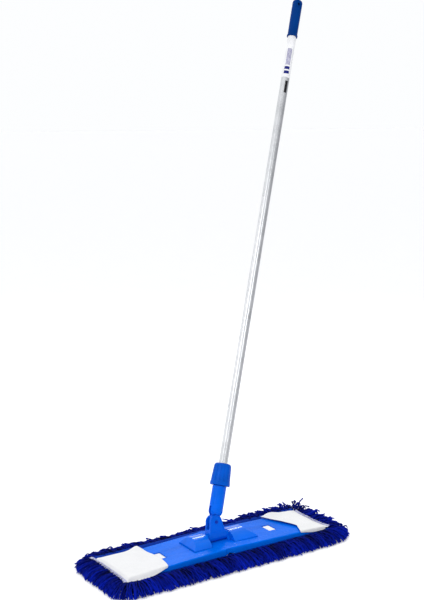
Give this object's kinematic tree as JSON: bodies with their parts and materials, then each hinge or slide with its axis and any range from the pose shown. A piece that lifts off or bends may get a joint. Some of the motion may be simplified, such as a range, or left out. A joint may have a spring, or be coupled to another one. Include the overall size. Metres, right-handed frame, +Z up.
{
  "type": "flat mop",
  "caption": "Flat mop with a folding plastic frame, white pocket pad with blue yarn fringe, two-way tilting joint and aluminium pole in a twist-lock socket.",
  "frame": {"origin": "on the floor under the centre of the joint, on the underside of the pad", "axes": "+Z up, +X along the frame, +Y to the back, the side that the pole leans to; the pole also leans to +X"},
  "size_m": [0.8841, 0.4899, 1.4347],
  "materials": {
    "frame_blue": "glossy moulded polypropylene",
    "joint_blue": "semi-gloss moulded nylon",
    "collar_blue": "satin moulded plastic",
    "pin_blue": "satin moulded plastic",
    "grip_blue": "satin grip plastic",
    "aluminium": "ribbed, anodised",
    "steel": "zinc plated",
    "black_plastic": "moulded",
    "label_white": "printed film, plain",
    "pocket_white": "woven polyester",
    "backing_canvas": "woven canvas",
    "yarn_blue": "looped and cut acrylic yarn"
  },
  "bodies": {
    "joint_base": {"joint_base": "frame_blue", "hinge_rod": "steel", "hinge_rod_clips": "steel", "lower_pivot_pin": "steel", "lower_pivot_clip": "steel", "centre_backing": "backing_canvas", "centre_pile": "yarn_blue"},
    "left_wing": {"left_wing": "frame_blue", "left_pedal_axle": "steel", "left_pedal_spring": "steel", "left_backing": "backing_canvas", "left_pile": "yarn_blue", "left_pocket": "pocket_white", "left_pocket_hem": "pocket_white", "left_fringe_front": "yarn_blue", "left_fringe_back": "yarn_blue", "left_fringe_end": "yarn_blue"},
    "right_wing": {"right_wing": "frame_blue", "right_pedal_axle": "steel", "right_pedal_spring": "steel", "right_backing": "backing_canvas", "right_pile": "yarn_blue", "right_pocket": "pocket_white", "right_pocket_hem": "pocket_white", "right_fringe_front": "yarn_blue", "right_fringe_back": "yarn_blue", "right_fringe_end": "yarn_blue"},
    "left_pedal": {"left_pedal": "frame_blue"},
    "right_pedal": {"right_pedal": "frame_blue"},
    "yoke": {"yoke": "joint_blue", "upper_pivot_pin": "pin_blue", "upper_pivot_washer": "steel"},
    "socket": {"socket": "joint_blue", "clamp_sleeve": "black_plastic"},
    "locking_collar": {"locking_collar": "collar_blue"},
    "pole": {"pole_tube": "aluminium", "tube_end_plug": "black_plastic", "hand_grip": "grip_blue", "label_sleeve": "label_white"}
  },
  "joints": [
    {"name": "left_fold", "type": "hinge", "parent": "joint_base", "child": "left_wing", "pos_m": [0, 0, 0.024], "axis": [0, -1, 0], "range_deg": [0, 70], "deforming": ["left_backing", "left_pile", "left_fringe_front", "left_fringe_back", "centre_backing", "centre_pile"]},
    {"name": "right_fold", "type": "hinge", "parent": "joint_base", "child": "right_wing", "pos_m": [0, 0, 0.024], "axis": [0, 1, 0], "range_deg": [0, 70], "deforming": ["right_backing", "right_pile", "right_fringe_front", "right_fringe_back"]},
    {"name": "lower_tilt", "type": "hinge", "parent": "joint_base", "child": "yoke", "pos_m": [0, 0, 0.046], "axis": [1, 0, 0], "range_deg": [-55.9, 84.1]},
    {"name": "upper_tilt", "type": "hinge", "parent": "yoke", "child": "socket", "pos_m": [0, 0.00889, 0.0814], "axis": [0, 0.9699, -0.2436], "range_deg": [-75.35, 34.65]},
    {"name": "collar_twist", "type": "hinge", "parent": "socket", "child": "locking_collar", "pos_m": [0.03478, 0.03173, 0.17233], "axis": [0.3478, 0.2284, 0.9093], "range_deg": [0, 180]},
    {"name": "pole_slide", "type": "slide", "parent": "socket", "child": "pole", "axis": [0.3478, 0.2284, 0.9093], "range_m": [0, 0.055]},
    {"name": "left_pedal_press", "type": "hinge", "parent": "left_wing", "child": "left_pedal", "pos_m": [-0.06, 0, 0.029], "axis": [0, -1, 0], "range_deg": [0, 9], "stiffness_Nm_per_rad": 3, "springref_deg": -5.73, "deforming": ["left_pedal_spring"]},
    {"name": "right_pedal_press", "type": "hinge", "parent": "right_wing", "child": "right_pedal", "pos_m": [0.066, 0, 0.029], "axis": [0, 1, 0], "range_deg": [0, 9], "stiffness_Nm_per_rad": 3, "springref_deg": -5.73, "deforming": ["right_pedal_spring"]}
  ]
}
